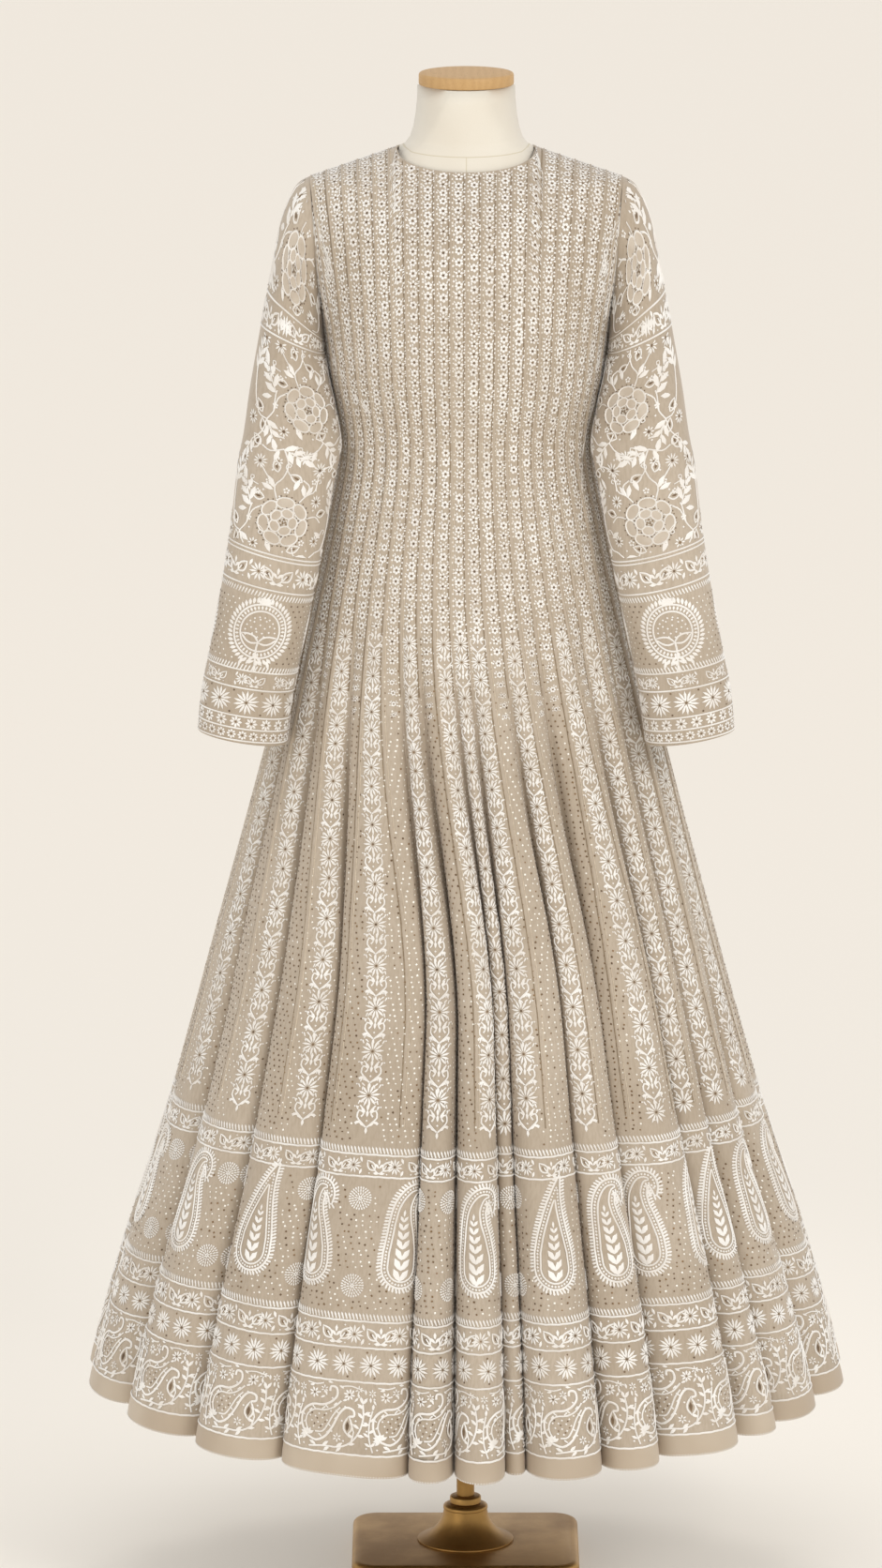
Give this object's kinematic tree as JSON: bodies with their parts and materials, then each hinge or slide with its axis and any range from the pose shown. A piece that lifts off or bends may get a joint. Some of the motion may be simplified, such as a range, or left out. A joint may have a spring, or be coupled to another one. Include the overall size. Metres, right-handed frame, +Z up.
{
  "type": "anarkali gown on a dress form",
  "caption": "Long-sleeved, full-length anarkali gown with a pleated flared skirt and raised pin tucks, worn by a limbless dress form on a brass stand.",
  "frame": {"origin": "centre of the stand base's underside, on the pole's axis", "axes": "+Z up along the pole, -Y out of the front of the gown, +X towards the wearer's left sleeve"},
  "size_m": [0.8103, 0.7575, 1.6236],
  "materials": {
    "cloth": "matt woven georgette with raised thread embroidery",
    "form_cover": "tight matt jersey cover",
    "cap_wood": "satin varnish",
    "stand_brass": "brushed and aged"
  },
  "bodies": {
    "root": {"front_panel": "cloth", "back_panel": "cloth", "hem_band_front": "cloth", "hem_band_back": "cloth", "sleeve_left": "cloth", "sleeve_right": "cloth", "neck_button": "cloth", "form_torso": "form_cover", "form_cap": "cap_wood", "stand_base": "stand_brass", "stand_bell": "stand_brass", "stand_collar": "stand_brass", "stand_pole": "stand_brass"}
  },
  "joints": []
}
